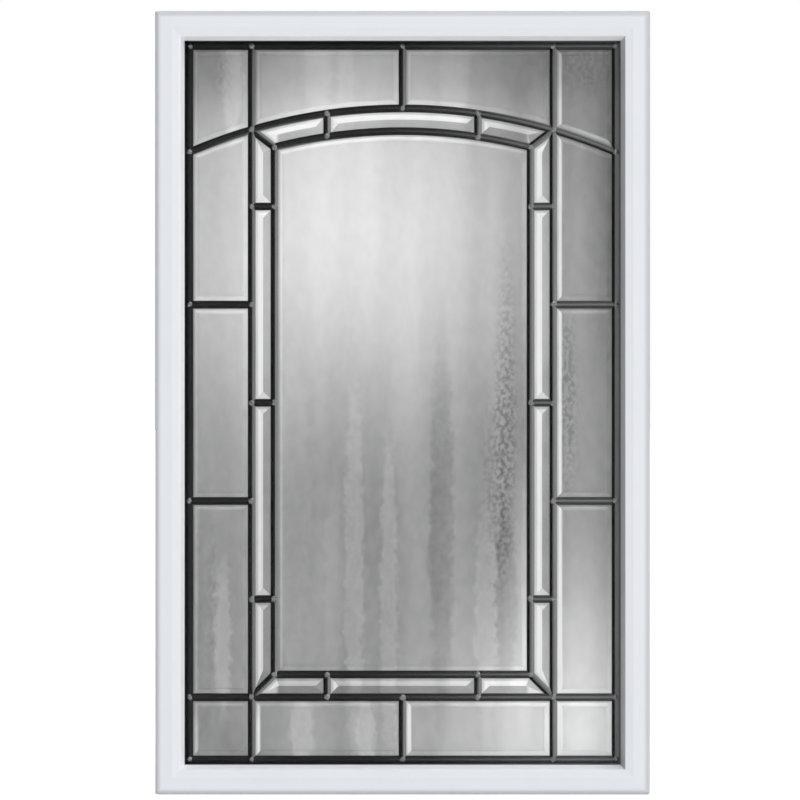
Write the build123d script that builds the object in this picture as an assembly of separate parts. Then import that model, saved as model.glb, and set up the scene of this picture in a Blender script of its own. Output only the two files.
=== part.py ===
from build123d import *
import math
import os

# A decorative leaded-glass insert for a door: two moulded frame halves clamp a triple-glazed
# unit in the door's cut-out. The unit is modelled lying flat, as it is leaded on the bench:
# X across, Y up the door, Z towards the exterior, with Z = 0 in the middle of the door.
# stand_up() turns each finished piece upright, so that the exterior faces -Y and up is +Z.
# Sizes are in millimetres.

# Door and frame outline
frame_width = 609.6
frame_height = 965.2
door_thickness = 44.45
corner_radius = 3.0

# Frame section: insets run inward from the frame's outer edge, heights outward from the door skin
rim_wall = 3.5
edge_round = 6.0
band_height = 11.7
crest_inset = 21.0
crest_height = 12.7
shoulder_inset = 31.0
shoulder_height = 11.4
shoulder_round = 1.2
lip_inset = 35.5
lip_land = 6.0
face_wall = 2.8
leg_inset = 14.7
leg_wall = 3.0
leg_meeting_gap = 4.4

# Ribs behind the frame's face
rib_thickness = 2.0
rib_sink = 1.0
rib_door_clearance = 1.5
rib_glass_clearance = 1.2

# Screw posts, screws and the plugs that hide them
side_screws = 4
side_screw_end = 101.6
head_screws = 2
head_screw_end = 177.8
post_inset = 20.8
post_wall = 1.7
post_sides = 6
plug_sides = 12
screw_length = 38.1
screw_diameter = 4.0
screw_point = 3.0
screw_tip = 0.4
screw_head_diameter = 8.0
screw_head_height = 2.6
screw_head_depth = 12.7
screw_clearance = 0.1
head_clearance = 0.2
pilot_depth_spare = 2.0
plug_length = 3.0
plug_recess = 0.6
plug_clearance = 0.1

# Glazed unit
unit_cover = 25.4
lite_thickness = 3.175
lite_seam = 0.5
spacer_width = 8.0
spacer_height = 6.35
spacer_shoulder = 1.5
sealant_width = 2.0
bedding_thickness = 1.6
bedding_setback = 0.5
block_length = 60.0
block_width = 20.0
block_end = 114.8

# Came, an H in section, and the glass that sits in its channels
came_face = 9.5
came_height = 6.35
came_crown = 2.4
came_heart = 1.6
came_channel = 3.8
leaf_edge = 0.5
border_show = 10.3
channel_fit = 0.2
heart_gap = 0.35
glass_thickness = 5.0
bevel_show = 6.9
solder_radius = 5.4
solder_height = 0.6
solder_taper = 55.0
solder_sides = 6

# Layout of the came lines
side_band = 77.0
head_band = 77.0
bevel_band = 28.2
arch_radius = 670.0
side_rows = 3

# Heights and places that follow from the sizes above
skin = door_thickness / 2
crest = skin + crest_height
half_unit = came_height / 2 + spacer_height + lite_thickness
lip_bottom = half_unit + bedding_thickness
leg_end = leg_meeting_gap / 2
unit_width = frame_width - 2 * unit_cover
unit_height = frame_height - 2 * unit_cover
spacer_inset = unit_cover + sealant_width
spacer_inner = spacer_inset + spacer_width
border_inset = lip_inset + border_show - came_face / 2
border_x = frame_width / 2 - border_inset
border_y = frame_height / 2 - border_inset
outer_x = border_x - side_band
inner_x = outer_x - bevel_band
rung_x = outer_x / 2
crown_y = border_y - head_band
lower_y = head_band - border_y
inner_lower_y = lower_y + bevel_band
row_height = (crown_y - lower_y) / side_rows
arch_centre_y = crown_y - arch_radius
inner_arch_radius = arch_radius - bevel_band
screw_seat = crest - screw_head_depth
pilot_radius = screw_diameter / 2 + screw_clearance
head_hole_radius = screw_head_diameter / 2 + head_clearance
glass_back = came_channel / 2 - channel_fit
glass_front = glass_thickness - glass_back
glass_edge = came_heart / 2 + heart_gap


def stand_up(piece):
    """Turns a piece from the bench to its place in the door."""
    return Rot(90, 0, 0) * piece


def save(name, *pieces):
    """Writes one node, its like pieces kept as separate solids."""
    solids = [solid for piece in pieces for solid in stand_up(piece).solids()]
    export_step(Compound(solids), f"parts/{name}.step")


# Frame


def face_height(inset):
    """Height of the frame's face above the door skin at an inset, before its edges are rounded."""
    if inset <= crest_inset:
        return band_height + (crest_height - band_height) * inset / crest_inset
    fall = (crest_height - shoulder_height) / (shoulder_inset - crest_inset)
    return crest_height - fall * (inset - crest_inset)


def under_face(inset):
    """Height of the underside of the face wall, from the middle of the door."""
    return skin + face_height(inset) - face_wall


def frame_section():
    """A thin-walled moulding: rim on the door skin, leg in the cut-out, wedge-shaped glazing lip."""
    lip_root = shoulder_inset - face_wall
    leg_inner = leg_inset + leg_wall
    outline = Polyline(
        (0, skin),
        (0, skin + band_height),
        (crest_inset, crest),
        (shoulder_inset, skin + shoulder_height),
        (lip_inset, lip_bottom),
        (lip_inset - lip_land, lip_bottom),
        (lip_root, under_face(lip_root)),
        (crest_inset, under_face(crest_inset)),
        (leg_inner, under_face(leg_inner)),
        (leg_inner, leg_end),
        (leg_inset, leg_end),
        (leg_inset, under_face(leg_inset)),
        (rim_wall, under_face(rim_wall)),
        (rim_wall, skin),
        close=True,
    )
    section = make_face(outline)
    rim_corner = section.vertices().sort_by_distance((0, skin + band_height))[0]
    section = fillet(rim_corner, edge_round)
    shoulder = section.vertices().sort_by_distance((shoulder_inset, skin + shoulder_height))[0]
    return fillet(shoulder, shoulder_round)


def straight_bar(section, start, end):
    """Runs a section from start to end. The section's X is to the left of the way it runs."""
    direction = Vector(*end) - Vector(*start)
    plane = Plane(origin=Vector(*start), x_dir=(-direction.Y, direction.X, 0), z_dir=direction)
    return extrude(plane * section, direction.length)


def mitred_bars(section, inset=0):
    """Four bars round a rectangle set in from the frame's outer edge, mitred at its corners."""
    x = frame_width / 2 - inset
    y = frame_height / 2 - inset
    corners = [Vector(-x, y), Vector(-x, -y), Vector(x, -y), Vector(x, y)]
    bars = []
    for start, end in zip(corners, corners[1:] + corners[:1]):
        along = (end - start).normalized()
        inward = Vector(-along.Y, along.X)
        overlap = along * frame_width
        bar = straight_bar(section, start - overlap, end + overlap)
        first = Plane(origin=start, z_dir=along - inward)
        last = Plane(origin=end, z_dir=-along - inward)
        bar = split(bar, bisect_by=first, keep=Keep.TOP)
        bars.append(split(bar, bisect_by=last, keep=Keep.TOP))
    return bars


def ring(section):
    """A mitred ring in one piece, its section drawn as inset and height."""
    first, *others = mitred_bars(section)
    return first + others


def spread(length, count, end):
    """Places along a member, evenly between its two end distances."""
    reach = length / 2 - end
    return [reach * (2 * i / (count - 1) - 1) for i in range(count)]


def stations(side_places, head_places):
    """Places on the frame's outer edge, each with its X turned inward."""
    sides = [Pos(-frame_width / 2, y) for y in side_places]
    sides += [Pos(frame_width / 2, y) * Rot(0, 0, 180) for y in side_places]
    heads = [Pos(x, frame_height / 2) * Rot(0, 0, -90) for x in head_places]
    heads += [Pos(x, -frame_height / 2) * Rot(0, 0, 90) for x in head_places]
    return sides + heads


def screw_stations():
    sides = spread(frame_height, side_screws, side_screw_end)
    heads = spread(frame_width, head_screws, head_screw_end)
    return stations(sides, heads)


def rib_stations():
    """One rib at each screw and one midway between each pair."""
    places = []
    for length, count, end in (
        (frame_height, side_screws, side_screw_end),
        (frame_width, head_screws, head_screw_end),
    ):
        places.append(spread(length, 2 * count - 1, end))
    return stations(*places)


def post(at, radius, sides, low, high):
    """A many-sided post behind the face, from one height to another."""
    return at * Pos(post_inset, 0, low) * extrude(RegularPolygon(radius, sides), high - low)


def rib(at, first, last, low, high):
    """A thin web across the hollow of the frame, between two insets."""
    middle = Pos((first + last) / 2, 0, (low + high) / 2)
    return at * middle * Box(last - first, rib_thickness, high - low)


def moulding():
    """What both frame halves share: the mitred ring, its ribs and the posts for the screws."""
    blank = extrude(RectangleRounded(frame_width, frame_height, corner_radius), crest)
    half = ring(frame_section()) & blank
    top = skin + band_height - face_wall + rib_sink
    leg_inner = leg_inset + leg_wall
    for at in rib_stations():
        half += rib(at, rim_wall - rib_sink, leg_inset + rib_sink, skin + rib_door_clearance, top)
        inner_end = shoulder_inset - face_wall + rib_sink
        half += rib(at, leg_inner - rib_sink, inner_end, lip_bottom + rib_glass_clearance, top)
    for at in screw_stations():
        half += post(at, pilot_radius + post_wall, post_sides, leg_end, top)
    return half


def exterior_frame():
    """The exterior half: its posts are blind, so nothing shows on the face."""
    half = moulding()
    tip = screw_length - screw_seat
    for at in screw_stations():
        half -= post(at, pilot_radius, post_sides, leg_end, tip + pilot_depth_spare)
    return half


def interior_frame():
    """The interior half: each post is widened and counterbored for a screw head and its plug."""
    half = moulding()
    top = skin + band_height - face_wall + rib_sink
    for at in screw_stations():
        half += post(at, head_hole_radius + post_wall, plug_sides, screw_seat - face_wall, top)
    for at in screw_stations():
        half -= post(at, pilot_radius, post_sides, leg_end, crest)
        half -= post(at, head_hole_radius, plug_sides, screw_seat, crest)
    return mirror(half, about=Plane.XY)


def turned(sides, *stages):
    """A piece on the Z axis with flat sides, drawn through its radii and heights."""
    rings = [Pos(0, 0, height) * RegularPolygon(radius, sides) for radius, height in stages]
    return loft(rings, ruled=True)


def frame_screw():
    """A pan-head screw with its head seat at Z = 0 and its point up."""
    head = screw_head_diameter / 2
    shank = screw_diameter / 2
    rim = -screw_head_height / 2
    pan = turned(post_sides, (shank, -screw_head_height), (head, rim), (head, 0))
    point = screw_length - screw_point
    return pan + turned(post_sides, (shank, 0), (shank, point), (screw_tip, screw_length))


def screw_plug():
    """A press-in plug with its outer end at Z = 0."""
    return extrude(RegularPolygon(head_hole_radius - plug_clearance, plug_sides), plug_length)


def screws():
    return [at * Pos(post_inset, 0, -screw_seat) * frame_screw() for at in screw_stations()]


def plugs():
    return [at * Pos(post_inset, 0, plug_recess - crest) * screw_plug() for at in screw_stations()]


# Glazed unit


def lite():
    """One clear outer lite, its edges seamed."""
    plate = Pos(0, 0, half_unit - lite_thickness / 2) * Box(unit_width, unit_height, lite_thickness)
    return chamfer(plate.edges(), lite_seam)


def spacer():
    """The spacer between a lite and the border came, its outer shoulders sloped for the sealant."""
    low = came_height / 2
    high = low + spacer_height
    return ring(
        make_face(
            Polyline(
                (spacer_inset + spacer_shoulder, low),
                (spacer_inner, low),
                (spacer_inner, high),
                (spacer_inset + spacer_shoulder, high),
                (spacer_inset, high - spacer_shoulder),
                (spacer_inset, low + spacer_shoulder),
                close=True,
            )
        )
    )


def edge_sealant():
    """The sealant round the unit's edge, run in over the shoulders of both spacers."""
    low = came_height / 2
    high = low + spacer_height
    upper = [
        (spacer_inset, low),
        (spacer_inset + spacer_shoulder, low),
        (spacer_inset, low + spacer_shoulder),
        (spacer_inset, high - spacer_shoulder),
        (spacer_inset + spacer_shoulder, high),
        (unit_cover, high),
    ]
    lower = [(inset, -height) for inset, height in reversed(upper)]
    return ring(make_face(Polyline(*upper, *lower, close=True)))


def bedding():
    """The bead between a lite and the frame's lip, set back from the sight line."""
    width = lip_land - bedding_setback
    centre = lip_inset - lip_land + width / 2
    return ring(Pos(centre, half_unit + bedding_thickness / 2) * Rectangle(width, bedding_thickness))


def setting_blocks():
    """Two blocks under the unit's lower edge, resting on the frame's legs."""
    seat = leg_inset + leg_wall
    height = unit_cover - seat
    centre_y = seat + height / 2 - frame_height / 2
    reach = frame_width / 2 - block_end
    return [Pos(x, centre_y, 0) * Box(block_length, height, block_width) for x in (-reach, reach)]


# Came lines


def arch_y(radius, x):
    """Height of an arch of the given radius at x."""
    return arch_centre_y + math.sqrt(radius**2 - x**2)


def row_line(rows):
    """Height of the came line that many rows above the lower came."""
    return lower_y + rows * row_height


def outer_corner(side, end):
    """Where an outer came crosses the arch (end 1) or the lower came (end -1)."""
    return (side * outer_x, arch_y(arch_radius, outer_x) if end > 0 else lower_y)


def inner_corner(side, end):
    """Where an inner came meets the inner arch (end 1) or the inner lower came (end -1)."""
    return (side * inner_x, arch_y(inner_arch_radius, inner_x) if end > 0 else inner_lower_y)


def came_lines():
    """The straight came lines of each node, in the order in which they are laid."""
    lines = {}
    for side, name in ((-1, "left"), (1, "right")):
        lines[f"{name}_outer_came"] = [((side * outer_x, -border_y), (side * outer_x, border_y))]
    lines["lower_cames"] = [((-border_x, lower_y), (border_x, lower_y))]
    for side, name in ((-1, "left"), (1, "right")):
        lines[f"{name}_inner_came"] = [(inner_corner(side, -1), inner_corner(side, 1))]
    lines["inner_lower_came"] = [(inner_corner(-1, -1), inner_corner(1, -1))]
    lines["divider_cames"] = [((0, -border_y), (0, lower_y)), ((0, crown_y), (0, border_y))]
    for side, name in ((-1, "left"), (1, "right")):
        crosses = [row_line(row) for row in range(1, side_rows)]
        rungs = [row_line(row + 0.5) for row in range(side_rows)]
        lines[f"{name}_cross_cames"] = [((side * border_x, y), (side * outer_x, y)) for y in crosses]
        lines[f"{name}_rungs"] = [((side * outer_x, y), (side * inner_x, y)) for y in rungs]
    places = (-rung_x, rung_x)
    inner_top = arch_y(inner_arch_radius, rung_x)
    outer_top = arch_y(arch_radius, rung_x)
    lines["arch_rungs"] = [((x, inner_top), (x, outer_top)) for x in places]
    lines["lower_rungs"] = [((x, lower_y), (x, inner_lower_y)) for x in places]
    lines["corner_mitre_cames"] = [
        (outer_corner(side, end), inner_corner(side, end)) for side in (-1, 1) for end in (-1, 1)
    ]
    return lines


def came_section():
    """The H of a came: two sloped leaves with a narrow flat crown, joined by the heart."""
    edge = came_face / 2
    channel = came_channel / 2
    outline = Polyline(
        (0, 0),
        (came_heart / 2, 0),
        (came_heart / 2, channel),
        (edge, channel),
        (edge, channel + leaf_edge),
        (came_crown / 2, came_height / 2),
        (0, came_height / 2),
        close=True,
    )
    quarter = make_face(outline)
    half = quarter + mirror(quarter, about=Plane.YZ)
    return half + mirror(half, about=Plane.XZ)


def border_section():
    """The border came: the same leaves, with flats run out under the spacers as an open channel."""
    outer = border_inset - spacer_inset
    flat = border_inset - spacer_inner
    slot = outer - came_heart / 2
    wing = Pos(-(outer + flat) / 2) * Rectangle(outer - flat, came_height)
    bridge = Pos(-outer / 2) * Rectangle(outer, came_channel + 2 * leaf_edge)
    channel = Pos(-(outer + came_heart / 2) / 2) * Rectangle(slot, came_channel)
    return (came_section() + wing + bridge) - channel


def arched_bar(section, radius):
    """A section run round the whole circle of an arch."""
    plane = Plane(origin=(0, arch_centre_y, 0), x_dir=(0, -1, 0), z_dir=(-1, 0, 0))
    axis = Axis((0, arch_centre_y, 0), (0, 0, 1))
    return revolve(plane * Pos(radius) * section, axis=axis)


def on_straight(start, end):
    """A run along a straight came line."""
    return lambda section: straight_bar(section, start, end)


def on_arch(radius):
    """A run along an arch."""
    return lambda section: arched_bar(section, radius)


def mitred(run, middle, *corners):
    """A run of the inner frame, cut to the mitre lines through its two corners."""

    def cut(section):
        bar = run(section) & inside_border()
        for side, end in corners:
            inner = Vector(*inner_corner(side, end))
            along = Vector(*outer_corner(side, end)) - inner
            mitre = Plane(origin=inner, x_dir=(0, 0, 1), z_dir=(along.Y, -along.X, 0))
            parts = split(bar, bisect_by=mitre, keep=Keep.BOTH).solids()
            bar = Part() + parts.sort_by_distance(middle)[0]
        return bar

    return cut


def overrun(start, end):
    """A straight came line, lengthened at both ends for a mitre."""
    along = (Vector(*end) - Vector(*start)).normalized() * came_face
    return Vector(*start) - along, Vector(*end) + along


def inside_border():
    """The space inside the leaves of the border came."""
    width = 2 * border_x - came_face
    height = 2 * border_y - came_face
    return Box(width, height, 2 * came_height)


def border_cames():
    """Four lengths of border came, mitred at the panel's corners."""
    return mitred_bars(border_section(), border_inset)


def inner_frame():
    """The four cames round the centre pane, mitred at its corners."""
    runs = {}
    for side, name in ((-1, "left"), (1, "right")):
        start, end = inner_corner(side, -1), inner_corner(side, 1)
        run = on_straight(*overrun(start, end))
        runs[f"{name}_inner_came"] = [mitred(run, (side * inner_x, 0), (side, -1), (side, 1))]
    run = on_straight(*overrun(inner_corner(-1, -1), inner_corner(1, -1)))
    runs["inner_lower_came"] = [mitred(run, (0, inner_lower_y), (-1, -1), (1, -1))]
    run = on_arch(inner_arch_radius)
    runs["inner_arch_came"] = [mitred(run, (0, crown_y - bevel_band), (-1, 1), (1, 1))]
    return runs


def came_runs():
    """The runs of each node inside the border, in the order in which they are laid."""
    lines = came_lines()
    runs = {name: [on_straight(*line) for line in lines[name]] for name in lines}
    first = ("left_outer_came", "right_outer_came")
    laid = {name: runs[name] for name in first}
    laid["arch_cames"] = [on_arch(arch_radius)]
    laid["lower_cames"] = runs["lower_cames"]
    laid |= inner_frame()
    laid |= {name: run for name, run in runs.items() if name not in laid}
    return laid


def laid_cames():
    """Every came inside the border, each cut to the leaves of those laid before it."""
    envelope = Rectangle(came_face, came_height)
    spaces = []
    cames = {}
    for name, runs in came_runs().items():
        cames[name] = []
        for run in runs:
            bar = run(came_section()) & inside_border()
            box = bar.bounding_box()
            near = [space for space in spaces if space.bounding_box().overlaps(box)]
            cames[name].append(bar - near if near else bar)
        spaces += [run(envelope) & inside_border() for run in runs]
    return cames


# Glass pieces


def strip(start, end):
    """The strip along a came line that no glass enters."""
    along = Vector(*end) - Vector(*start)
    middle = (Vector(*start) + Vector(*end)) / 2
    turn = math.degrees(math.atan2(along.Y, along.X))
    return Pos(middle.X, middle.Y) * Rot(0, 0, turn) * Rectangle(along.length, 2 * glass_edge)


def arch_strip(radius, half_width):
    """The same strip along an arch, out to half its width each side."""
    at = Pos(0, arch_centre_y)
    band = at * Circle(radius + glass_edge) - at * Circle(radius - glass_edge)
    return band & Pos(0, frame_height / 2) * Rectangle(2 * half_width, frame_height)


def glass_outlines():
    """Every glass outline at once: the panel, less a strip along each came line."""
    sheet = Rectangle(2 * (border_x - glass_edge), 2 * (border_y - glass_edge))
    strips = [strip(*line) for lines in came_lines().values() for line in lines]
    strips.append(arch_strip(arch_radius, border_x))
    strips.append(arch_strip(inner_arch_radius, inner_x))
    return (sheet - strips).faces()


def pane_places():
    """A point inside each pane that has a flat in its middle."""
    places = {"centre_pane": (0, 0)}
    top_y = (border_y + crown_y) / 2
    for side, name in ((-1, "left"), (1, "right")):
        column_x = side * (border_x + outer_x) / 2
        rows = ("lower", "middle", "upper")
        places |= {f"{name}_{row}_pane": (column_x, row_line(i + 0.5)) for i, row in enumerate(rows)}
        for y, end in ((top_y, "top"), (-top_y, "bottom")):
            places[f"{end}_{name}_corner_pane"] = (column_x, y)
            places[f"{end}_{name}_pane"] = (side * rung_x, y)
    return places


def border_bevel_places():
    """A point inside each narrow piece of the bevelled border."""
    places = {}
    top_y = arch_y(arch_radius - bevel_band / 2, rung_x)
    low_y = lower_y + bevel_band / 2
    for side, name in ((-1, "left"), (1, "right")):
        x = side * (outer_x + inner_x) / 2
        places[f"{name}_bevel_1"] = (x, row_line(side_rows - 0.25))
        for row in range(1, side_rows):
            places[f"{name}_bevel_{row + 1}"] = (x, row_line(side_rows - row))
        places[f"{name}_bevel_{side_rows + 1}"] = (x, row_line(0.25))
        past_rung = side * (rung_x + inner_x) / 2
        places[f"top_{name}_bevel"] = (past_rung, arch_y(arch_radius - bevel_band / 2, past_rung))
        places[f"bottom_{name}_bevel"] = (past_rung, low_y)
    places["top_centre_bevel"] = (0, crown_y - bevel_band / 2)
    places["bottom_centre_bevel"] = (0, low_y)
    return places


def grinding_wedge(edge, centre, section):
    """The glass that is ground away along one edge. The section's X runs into the piece."""
    if edge.geom_type == GeomType.CIRCLE:
        outside = (centre - Vector(0, arch_centre_y)).length > edge.radius
        return arched_bar(section if outside else mirror(section, about=Plane.YZ), edge.radius)
    start, end = edge @ 0, edge @ 1
    along = end - start
    if along.cross(centre - start).Z < 0:
        start, end, along = end, start, -along
    spare = along.normalized() * bevel_band
    return straight_bar(section, start - spare, end + spare)


def bevelled(outline, bevel_width, blank_top):
    """One piece of glass: flat back, and a bevel that leaves each channel at the fit's height."""
    slope = (glass_front - glass_back) / bevel_width
    in_channel = came_face / 2 - glass_edge
    edge_height = glass_back - slope * in_channel
    high = blank_top + slope * bevel_width
    wedge = make_face(
        Polyline(
            (-bevel_width, edge_height - slope * bevel_width),
            ((high - edge_height) / slope, high),
            (-bevel_width, high),
            close=True,
        )
    )
    piece = Pos(0, 0, -glass_back) * extrude(outline, blank_top + glass_back)
    for edge in outline.edges():
        piece -= grinding_wedge(edge, outline.center(), wedge)
    return piece


def glass_pieces():
    """Every piece of the leaded panel's glass, by name."""
    outlines = glass_outlines()
    pieces = {}
    for name, place in pane_places().items():
        outline = outlines.sort_by_distance(place)[0]
        pieces[name] = bevelled(outline, bevel_show, glass_front)
    ridge_width = (bevel_band - came_face) / 2
    for name, place in border_bevel_places().items():
        outline = outlines.sort_by_distance(place)[0]
        pieces[name] = bevelled(outline, ridge_width, glass_front + glass_back)
    return pieces


# Solder


def joint_places():
    """Every place where cames meet."""
    places = [(0, y) for y in (-border_y, lower_y, crown_y, border_y)]
    crosses = [row_line(row) for row in range(1, side_rows)]
    rungs = [row_line(row + 0.5) for row in range(side_rows)]
    for side in (-1, 1):
        border = [-border_y, lower_y, *crosses, arch_y(arch_radius, border_x), border_y]
        outer = [-border_y, lower_y, *crosses, *rungs, arch_y(arch_radius, outer_x), border_y]
        inner = [inner_lower_y, *rungs, arch_y(inner_arch_radius, inner_x)]
        tops = [arch_y(radius, rung_x) for radius in (arch_radius, inner_arch_radius)]
        places += [(side * border_x, y) for y in border]
        places += [(side * outer_x, y) for y in outer]
        places += [(side * inner_x, y) for y in inner]
        places += [(side * rung_x, y) for y in (lower_y, inner_lower_y, *tops)]
    return places


def solder_joints():
    """A low bead of solder over each joint, on both faces of the panel."""
    bead = extrude(RegularPolygon(solder_radius, solder_sides), solder_height, taper=solder_taper)
    face = Pos(0, 0, came_height / 2) * bead
    back = Rot(180, 0, 0) * face
    return [Pos(x, y) * side for x, y in joint_places() for side in (face, back)]


# Assembly

os.makedirs("parts", exist_ok=True)
exterior_lite, exterior_spacer, exterior_bedding = lite(), spacer(), bedding()
save("exterior_frame", exterior_frame())
save("interior_frame", interior_frame())
save("frame_screws", *screws())
save("screw_plugs", *plugs())
save("exterior_lite", exterior_lite)
save("interior_lite", mirror(exterior_lite, about=Plane.XY))
save("exterior_spacer", exterior_spacer)
save("interior_spacer", mirror(exterior_spacer, about=Plane.XY))
save("exterior_glazing_bead", exterior_bedding)
save("interior_glazing_tape", mirror(exterior_bedding, about=Plane.XY))
save("edge_sealant", edge_sealant())
save("setting_blocks", *setting_blocks())
save("border_cames", *border_cames())
for node, cames in laid_cames().items():
    save(node, *cames)
for node, piece in glass_pieces().items():
    save(node, piece)
save("solder_joints", *solder_joints())
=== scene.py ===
import bpy
import bmesh
import math
from mathutils import Matrix, Vector, noise


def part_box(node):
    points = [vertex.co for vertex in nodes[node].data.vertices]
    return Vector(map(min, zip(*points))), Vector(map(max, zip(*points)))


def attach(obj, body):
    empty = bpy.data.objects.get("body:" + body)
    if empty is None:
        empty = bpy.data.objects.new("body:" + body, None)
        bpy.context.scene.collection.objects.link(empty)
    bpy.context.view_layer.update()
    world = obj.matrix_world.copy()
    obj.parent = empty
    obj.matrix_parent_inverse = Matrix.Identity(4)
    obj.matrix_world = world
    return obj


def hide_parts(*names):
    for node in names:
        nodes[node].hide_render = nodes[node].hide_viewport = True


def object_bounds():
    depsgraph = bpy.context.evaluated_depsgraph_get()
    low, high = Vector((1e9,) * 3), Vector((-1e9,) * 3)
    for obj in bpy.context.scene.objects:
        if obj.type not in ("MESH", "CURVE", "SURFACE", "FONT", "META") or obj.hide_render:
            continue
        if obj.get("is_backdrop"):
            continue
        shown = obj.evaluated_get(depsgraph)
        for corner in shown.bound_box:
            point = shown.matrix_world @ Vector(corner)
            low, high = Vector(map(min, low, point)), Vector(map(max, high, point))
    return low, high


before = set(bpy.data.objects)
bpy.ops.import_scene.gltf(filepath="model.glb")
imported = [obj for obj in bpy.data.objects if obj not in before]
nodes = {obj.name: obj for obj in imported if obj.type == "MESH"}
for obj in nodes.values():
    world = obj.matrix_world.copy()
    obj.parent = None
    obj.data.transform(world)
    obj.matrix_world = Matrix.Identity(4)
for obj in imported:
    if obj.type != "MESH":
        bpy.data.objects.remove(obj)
cad_low, cad_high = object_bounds()


# The frame halves: two white mouldings that clamp the glazed unit in the door.
# Injection-moulded plastic with a satin skin, very slightly mottled and soft to the light.


def toolkit(tree):
    """Short ways to add nodes to a tree, to join them and to do sums with them."""
    join = tree.links.new

    def add(kind, values=(), **settings):
        node = tree.nodes.new(kind)
        for setting, value in settings.items():
            setattr(node, setting, value)
        for socket, value in dict(values).items():
            node.inputs[socket].default_value = value
        return node

    def maths(operation, first, second=0.0):
        node = add("ShaderNodeMath", operation=operation)
        for socket, value in zip(node.inputs, (first, second)):
            if isinstance(value, (int, float)):
                socket.default_value = value
            else:
                join(value, socket)
        return node.outputs["Value"]

    def ranged(value, low, high, to_low, to_high):
        values = {"From Min": low, "From Max": high, "To Min": to_low, "To Max": to_high}
        node = add("ShaderNodeMapRange", values, interpolation_type="SMOOTHSTEP")
        join(value, node.inputs["Value"])
        return node.outputs["Result"]

    return add, join, maths, ranged


def start_material(name):
    """A new material with its shader."""
    material = bpy.data.materials.new(name)
    material.use_nodes = True
    return material, material.node_tree.nodes["Principled BSDF"]


def start_group(name, inputs, outputs):
    """An effect that several materials share, with named inputs and outputs."""
    group = bpy.data.node_groups.new(name, "ShaderNodeTree")
    for label, kind, value in inputs:
        group.interface.new_socket(label, in_out="INPUT", socket_type=kind).default_value = value
    for label, kind in outputs:
        group.interface.new_socket(label, in_out="OUTPUT", socket_type=kind)
    return group


def mottle_group():
    """Soft clouds of colour, and a fine skin texture as a normal."""
    group = start_group(
        "skin mottle",
        [
            ("Light", "NodeSocketColor", (1, 1, 1, 1)),
            ("Dark", "NodeSocketColor", (0.8, 0.8, 0.8, 1)),
            ("Cloud Scale", "NodeSocketFloat", 20.0),
            ("Grain Scale", "NodeSocketFloat", 900.0),
            ("Grain Depth", "NodeSocketFloat", 0.1),
            ("Smooth", "NodeSocketFloat", 0.35),
            ("Rough", "NodeSocketFloat", 0.5),
        ],
        [
            ("Color", "NodeSocketColor"),
            ("Roughness", "NodeSocketFloat"),
            ("Normal", "NodeSocketVector"),
        ],
    )
    add, join, *_ = toolkit(group)
    given, out = add("NodeGroupInput"), add("NodeGroupOutput")
    place = add("ShaderNodeTexCoord")
    cloud = add("ShaderNodeTexNoise", {"Detail": 4.0, "Roughness": 0.6})
    grain = add("ShaderNodeTexNoise", {"Detail": 2.0, "Roughness": 0.5})
    tint = add("ShaderNodeMix", data_type="RGBA")
    gloss = add("ShaderNodeMapRange", {"From Min": 0.3, "From Max": 0.7})
    bump = add("ShaderNodeBump", {"Distance": 0.0003})
    join(place.outputs["Object"], cloud.inputs["Vector"])
    join(place.outputs["Object"], grain.inputs["Vector"])
    join(given.outputs["Cloud Scale"], cloud.inputs["Scale"])
    join(given.outputs["Grain Scale"], grain.inputs["Scale"])
    join(cloud.outputs["Fac"], tint.inputs["Factor"])
    join(given.outputs["Light"], tint.inputs["A"])
    join(given.outputs["Dark"], tint.inputs["B"])
    join(cloud.outputs["Fac"], gloss.inputs["Value"])
    join(given.outputs["Smooth"], gloss.inputs["To Min"])
    join(given.outputs["Rough"], gloss.inputs["To Max"])
    join(grain.outputs["Fac"], bump.inputs["Height"])
    join(given.outputs["Grain Depth"], bump.inputs["Strength"])
    join(tint.outputs["Result"], out.inputs["Color"])
    join(gloss.outputs["Result"], out.inputs["Roughness"])
    join(bump.outputs["Normal"], out.inputs["Normal"])
    return group


skin_mottle = mottle_group()


def mottled(name, light, dark, cloud, grain, depth, smooth, rough, metallic=0.0, specular=0.5):
    """A solid finish with the shared mottle."""
    material, shader = start_material(name)
    add, join, *_ = toolkit(material.node_tree)
    effect = add("ShaderNodeGroup", node_tree=skin_mottle)
    effect.inputs["Light"].default_value = (*light, 1)
    effect.inputs["Dark"].default_value = (*dark, 1)
    effect.inputs["Cloud Scale"].default_value = cloud
    effect.inputs["Grain Scale"].default_value = grain
    effect.inputs["Grain Depth"].default_value = depth
    effect.inputs["Smooth"].default_value = smooth
    effect.inputs["Rough"].default_value = rough
    shader.inputs["Metallic"].default_value = metallic
    shader.inputs["Specular IOR Level"].default_value = specular
    join(effect.outputs["Color"], shader.inputs["Base Color"])
    join(effect.outputs["Roughness"], shader.inputs["Roughness"])
    join(effect.outputs["Normal"], shader.inputs["Normal"])
    return material


def dress(material, *names):
    """Gives CAD nodes a finish."""
    for name in names:
        slots = nodes[name].material_slots
        for place in slots:
            place.material = material
        if not slots:
            nodes[name].data.materials.append(material)


# Painted shade and light in the frame's colour: greyer over the rolled outer edge and in the right
# return, paler in the left and top returns.
rim_shade_start, rim_shade_full = 0.009, 0.0025
right_rim_shade, left_rim_shade, top_rim_shade, bottom_rim_shade = 0.6, 0.4, 0.62, 0.55
return_x, return_z = (0.24, 0.25), (0.42, 0.43)
face_x = (0.286, 0.284)
return_shade = 0.55
return_slope = (0.3, 0.6)
painted_light_return = (0.95, 0.96, 0.98, 1)
painted_shade_grey = (0.46, 0.46, 0.47, 1)


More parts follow.
